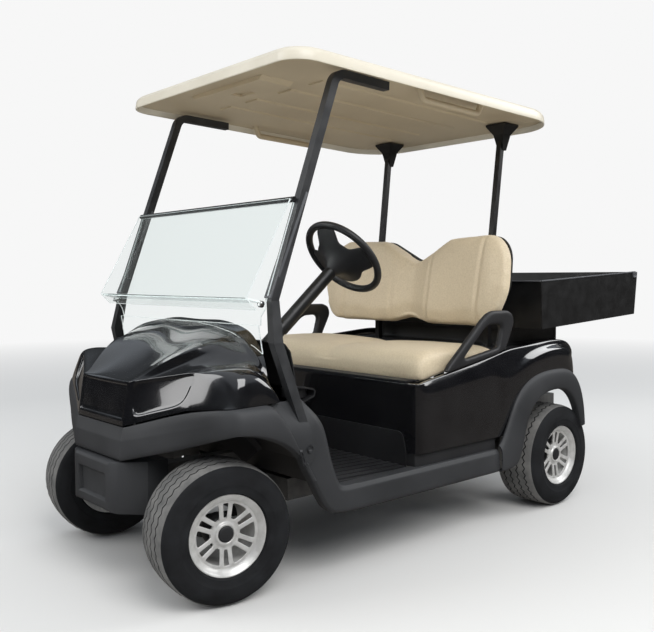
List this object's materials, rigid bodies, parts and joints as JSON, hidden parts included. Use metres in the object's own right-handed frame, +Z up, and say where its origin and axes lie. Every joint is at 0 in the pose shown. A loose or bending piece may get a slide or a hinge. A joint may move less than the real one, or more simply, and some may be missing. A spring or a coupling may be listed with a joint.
{
  "type": "golf cart",
  "caption": "Two-seat electric golf cart with a canopy roof, folded windscreen, bench seat, turf tyres and a steel cargo box behind.",
  "frame": {"origin": "on the ground under the middle of the parked cart's length, on its centre plane", "axes": "+X forward, +Y to the driver's left, +Z up"},
  "size_m": [2.5797, 1.204, 1.7407],
  "materials": {
    "tyre_rubber": "moulded turf tread, matte side walls",
    "rim_silver": "silver lacquered casting",
    "gloss_black": "deep gloss black moulded panel",
    "grey_trim": "grained dark grey moulded trim",
    "black_plastic": "grained black moulding",
    "tan_vinyl": "tan vinyl with a fine grain",
    "clear_acrylic": "clear acrylic sheet",
    "black_steel": "satin black powder coat",
    "roof_cream": "cream moulded skin",
    "liner_tan": "tan moulded liner",
    "battery_case": "plain block",
    "frame_metal": "dull box sections",
    "forged_steel": "black painted steel"
  },
  "bodies": {
    "chassis": {"battery_pack": "battery_case", "box_bearers": "black_steel", "bumper": "grey_trim", "cargo_box": "black_steel", "dash": "black_plastic", "floor_mat": "black_plastic", "floor_pan": "black_plastic", "frame": "frame_metal", "front_axle": "forged_steel", "front_body": "gloss_black", "front_fascia": "grey_trim", "front_springs": "forged_steel", "front_struts": "black_steel", "hip_restraints": "black_steel", "pedals": "black_plastic", "rear_axle": "forged_steel", "rear_body": "gloss_black", "rear_deck": "black_plastic", "rear_flares": "grey_trim", "rear_posts": "black_steel", "rear_springs": "forged_steel", "rocker_panels": "grey_trim", "roof": "roof_cream", "roof_liner": "liner_tan", "seat_back_cushion": "tan_vinyl", "seat_back_shell": "black_plastic", "steering_column": "black_steel", "windscreen_hinge": "black_steel", "windscreen_lower": "clear_acrylic", "windscreen_upper": "clear_acrylic"},
    "knuckle_left": {"knuckle_left": "forged_steel"},
    "knuckle_right": {"knuckle_right": "forged_steel"},
    "wheel_front_left": {"tyre_front_left": "tyre_rubber", "rim_front_left": "rim_silver"},
    "wheel_front_right": {"tyre_front_right": "tyre_rubber", "rim_front_right": "rim_silver"},
    "wheel_rear_left": {"tyre_rear_left": "tyre_rubber", "rim_rear_left": "rim_silver"},
    "wheel_rear_right": {"tyre_rear_right": "tyre_rubber", "rim_rear_right": "rim_silver"},
    "tie_rod": {"tie_rod": "forged_steel"},
    "steering_wheel": {"steering_wheel": "black_plastic"},
    "seat_bottom": {"seat_pan": "black_plastic", "seat_cushion": "tan_vinyl"},
    "tailgate": {"tailgate": "black_steel"}
  },
  "joints": [
    {"name": "steer_left", "type": "hinge", "parent": "chassis", "child": "knuckle_left", "pos_m": [1.026, 0.305, 0.2185], "axis": [0, 0, 1], "range_deg": [-19, 41]},
    {"name": "steer_right", "type": "hinge", "parent": "chassis", "child": "knuckle_right", "pos_m": [1.026, -0.305, 0.2185], "axis": [0, 0, 1], "range_deg": [-19, 41]},
    {"name": "tie_rod_pivot", "type": "hinge", "parent": "knuckle_left", "child": "tie_rod", "pos_m": [0.90821, 0.3279, 0.2185], "axis": [0, 0, 1], "range_deg": [-41, 19]},
    {"name": "steering_wheel_turn", "type": "hinge", "parent": "chassis", "child": "steering_wheel", "pos_m": [0.369, 0.265, 1.065], "axis": [-0.7627, 0, 0.6468], "range_deg": [-228, 492]},
    {"name": "roll_front_left", "type": "hinge", "parent": "knuckle_left", "child": "wheel_front_left", "pos_m": [1.04966, 0.42672, 0.2185], "axis": [0.1908, 0.9816, 0], "continuous": true},
    {"name": "roll_front_right", "type": "hinge", "parent": "knuckle_right", "child": "wheel_front_right", "pos_m": [1.00234, -0.42672, 0.2185], "axis": [0.1908, 0.9816, 0], "continuous": true},
    {"name": "roll_rear_left", "type": "hinge", "parent": "chassis", "child": "wheel_rear_left", "pos_m": [-0.614, 0.489, 0.2185], "axis": [0, 1, 0], "continuous": true},
    {"name": "roll_rear_right", "type": "hinge", "parent": "chassis", "child": "wheel_rear_right", "pos_m": [-0.614, -0.489, 0.2185], "axis": [0, 1, 0], "continuous": true},
    {"name": "seat_lift", "type": "hinge", "parent": "chassis", "child": "seat_bottom", "pos_m": [-0.264, 0, 0.678], "axis": [0, -1, 0], "range_deg": [0, 38]},
    {"name": "tailgate_drop", "type": "hinge", "parent": "chassis", "child": "tailgate", "pos_m": [-1.2698, 0, 0.79874], "axis": [0, -1, 0], "range_deg": [0, 90]}
  ],
  "couplings": [
    {"joint": "steer_right", "follows": "steer_left", "ratio": 1},
    {"joint": "tie_rod_pivot", "follows": "steer_left", "ratio": -1},
    {"joint": "steering_wheel_turn", "follows": "steer_left", "ratio": 12}
  ]
}
